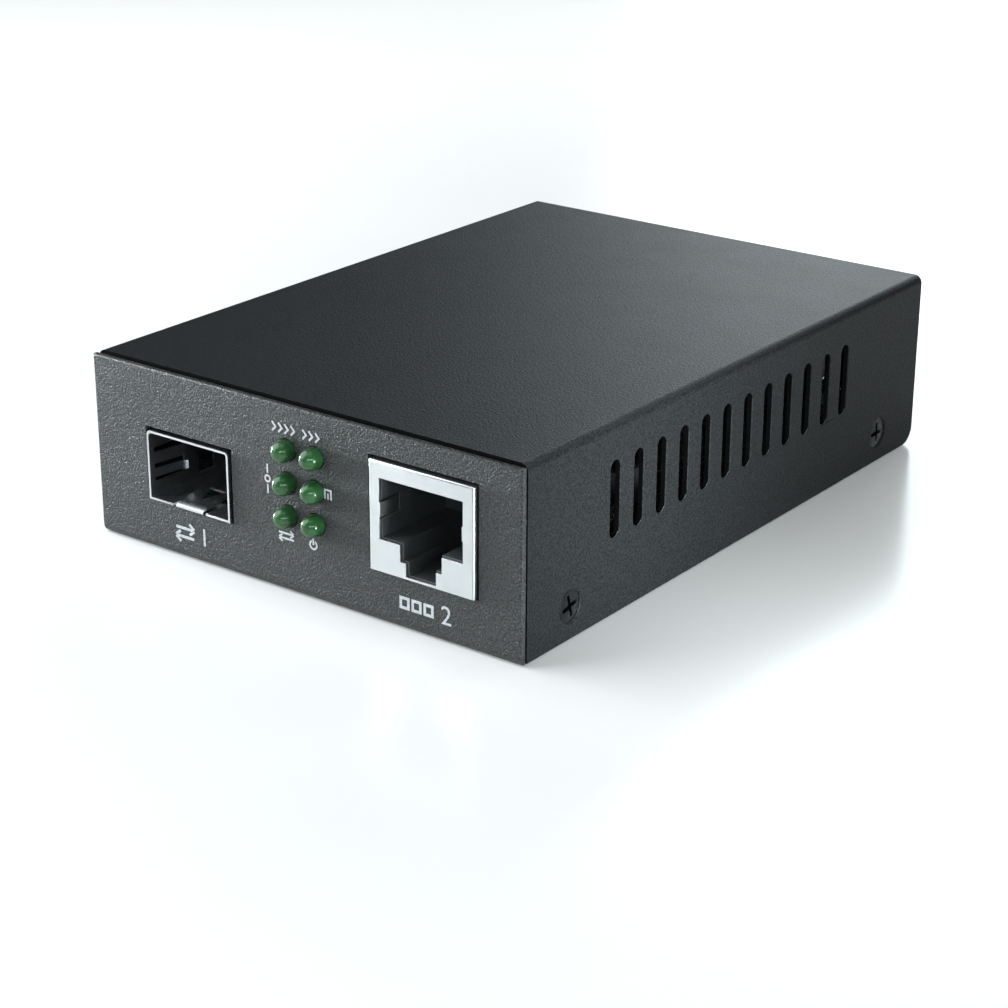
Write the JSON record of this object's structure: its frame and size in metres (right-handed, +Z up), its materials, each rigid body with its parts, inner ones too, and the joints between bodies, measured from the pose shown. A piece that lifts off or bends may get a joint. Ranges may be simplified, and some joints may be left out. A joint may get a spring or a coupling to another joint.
{
  "type": "fibre media converter",
  "caption": "Small flat steel box that links an optical fibre line to a copper network cable, with a module cage, a jack and indicator lamps in front.",
  "frame": {"origin": "middle of the flat underside, on the resting plane, midway between the front face and the rear end of the cover", "axes": "+Z up, +Y towards the rear end, +X to the right as one looks at the front panel"},
  "size_m": [0.071, 0.1014, 0.026],
  "materials": {
    "powder_coat": "fine textured dark grey powder coat",
    "dark_screw": "black zinc plated",
    "board": "green solder mask on glass fibre laminate",
    "zinc_steel": "clear zinc plated",
    "bright_steel": "bright nickel plated sheet",
    "black_plastic": "fine matt moulding",
    "gold": "gold plated contacts",
    "green_lens": "green diffused epoxy, unlit",
    "tin": "tin plated leads",
    "chip_plastic": "matt moulded package",
    "ferrite": "sintered ferrite",
    "copper_wire": "enamelled winding",
    "can_sleeve": "shrink sleeve",
    "ceramic_part": "sintered ceramic",
    "print_ink": "pale grey printed marks"
  },
  "bodies": {
    "root": {"top_cover": "powder_coat", "chassis": "powder_coat", "case_screws": "dark_screw", "circuit_board": "board", "board_standoffs": "zinc_steel", "board_screws": "zinc_steel", "sfp_cage": "bright_steel", "sfp_connector": "black_plastic", "sfp_connector_contacts": "gold", "rj45_shield": "bright_steel", "rj45_housing": "black_plastic", "rj45_contacts": "gold", "lamp_holder": "black_plastic", "lamp_1": "green_lens", "lamp_leads_1": "tin", "lamp_2": "green_lens", "lamp_leads_2": "tin", "lamp_3": "green_lens", "lamp_leads_3": "tin", "lamp_4": "green_lens", "lamp_leads_4": "tin", "lamp_5": "green_lens", "lamp_leads_5": "tin", "lamp_6": "green_lens", "lamp_leads_6": "tin", "power_inlet": "black_plastic", "inlet_pin": "tin", "inlet_spring": "tin", "converter_chip": "chip_plastic", "converter_chip_leads": "tin", "line_transformer": "chip_plastic", "line_transformer_leads": "tin", "memory_chip": "chip_plastic", "memory_chip_leads": "tin", "regulator": "chip_plastic", "regulator_leads": "tin", "crystal": "bright_steel", "choke_core": "ferrite", "choke_winding": "copper_wire", "input_diode": "chip_plastic", "diode_tabs": "tin", "input_capacitor": "can_sleeve", "output_capacitor": "can_sleeve", "chip_parts": "ceramic_part"}
  },
  "joints": []
}
